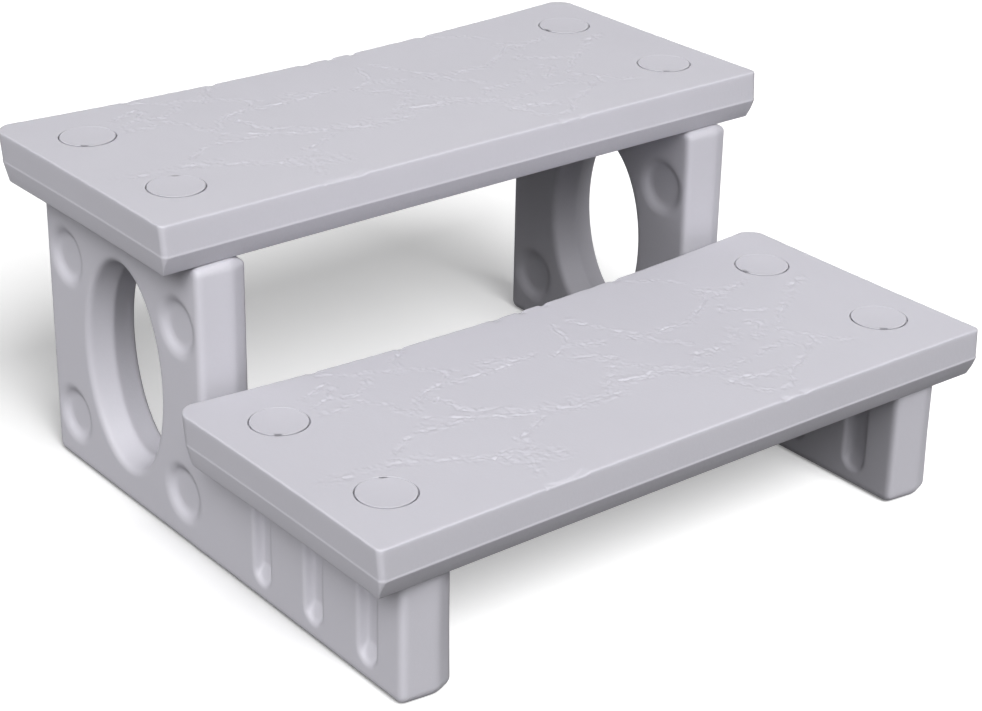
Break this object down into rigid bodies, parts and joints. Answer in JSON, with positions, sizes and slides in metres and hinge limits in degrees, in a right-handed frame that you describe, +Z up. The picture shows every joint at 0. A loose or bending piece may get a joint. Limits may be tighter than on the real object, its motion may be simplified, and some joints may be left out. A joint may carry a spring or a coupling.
{
  "type": "spa steps",
  "caption": "Free-standing plastic spa steps: slate-textured treads screwed to L-shaped side panels with oval windows, with snap-in caps over the screws.",
  "frame": {"origin": "on the floor, at the centre of the footprint's bounding box", "axes": "+X to the right along the treads' length, +Y from the lower front step towards the spa at the back, +Z up"},
  "size_m": [0.692, 0.612, 0.335],
  "materials": {
    "panel_plastic": "matte blow-moulded polyethylene, light grey",
    "tread_plastic": "matte blow-moulded polyethylene with a faint slate relief, light grey",
    "cap_plastic": "matte injection-moulded polyethylene, light grey",
    "zinc_steel": "bright zinc-plated steel",
    "insert_brass": "plain turned brass"
  },
  "bodies": {
    "steps": {"left_side_panel": "panel_plastic", "right_side_panel": "panel_plastic", "lower_tread": "tread_plastic", "upper_tread": "tread_plastic", "lower_left_screws": "zinc_steel", "lower_right_screws": "zinc_steel", "upper_left_screws": "zinc_steel", "upper_right_screws": "zinc_steel", "lower_left_washers": "zinc_steel", "lower_right_washers": "zinc_steel", "upper_left_washers": "zinc_steel", "upper_right_washers": "zinc_steel", "lower_left_inserts": "insert_brass", "lower_right_inserts": "insert_brass", "upper_left_inserts": "insert_brass", "upper_right_inserts": "insert_brass"},
    "lower_front_left_cap": {"lower_front_left_cap": "cap_plastic"},
    "lower_front_right_cap": {"lower_front_right_cap": "cap_plastic"},
    "lower_back_left_cap": {"lower_back_left_cap": "cap_plastic"},
    "lower_back_right_cap": {"lower_back_right_cap": "cap_plastic"},
    "upper_front_left_cap": {"upper_front_left_cap": "cap_plastic"},
    "upper_front_right_cap": {"upper_front_right_cap": "cap_plastic"},
    "upper_back_left_cap": {"upper_back_left_cap": "cap_plastic"},
    "upper_back_right_cap": {"upper_back_right_cap": "cap_plastic"}
  },
  "joints": [
    {"name": "lower_front_left_cap_lift", "type": "slide", "parent": "steps", "child": "lower_front_left_cap", "axis": [0, 0, 1], "range_m": [0, 0.025]},
    {"name": "lower_front_right_cap_lift", "type": "slide", "parent": "steps", "child": "lower_front_right_cap", "axis": [0, 0, 1], "range_m": [0, 0.025]},
    {"name": "lower_back_left_cap_lift", "type": "slide", "parent": "steps", "child": "lower_back_left_cap", "axis": [0, 0, 1], "range_m": [0, 0.025]},
    {"name": "lower_back_right_cap_lift", "type": "slide", "parent": "steps", "child": "lower_back_right_cap", "axis": [0, 0, 1], "range_m": [0, 0.025]},
    {"name": "upper_front_left_cap_lift", "type": "slide", "parent": "steps", "child": "upper_front_left_cap", "axis": [0, 0, 1], "range_m": [0, 0.025]},
    {"name": "upper_front_right_cap_lift", "type": "slide", "parent": "steps", "child": "upper_front_right_cap", "axis": [0, 0, 1], "range_m": [0, 0.025]},
    {"name": "upper_back_left_cap_lift", "type": "slide", "parent": "steps", "child": "upper_back_left_cap", "axis": [0, 0, 1], "range_m": [0, 0.025]},
    {"name": "upper_back_right_cap_lift", "type": "slide", "parent": "steps", "child": "upper_back_right_cap", "axis": [0, 0, 1], "range_m": [0, 0.025]}
  ]
}
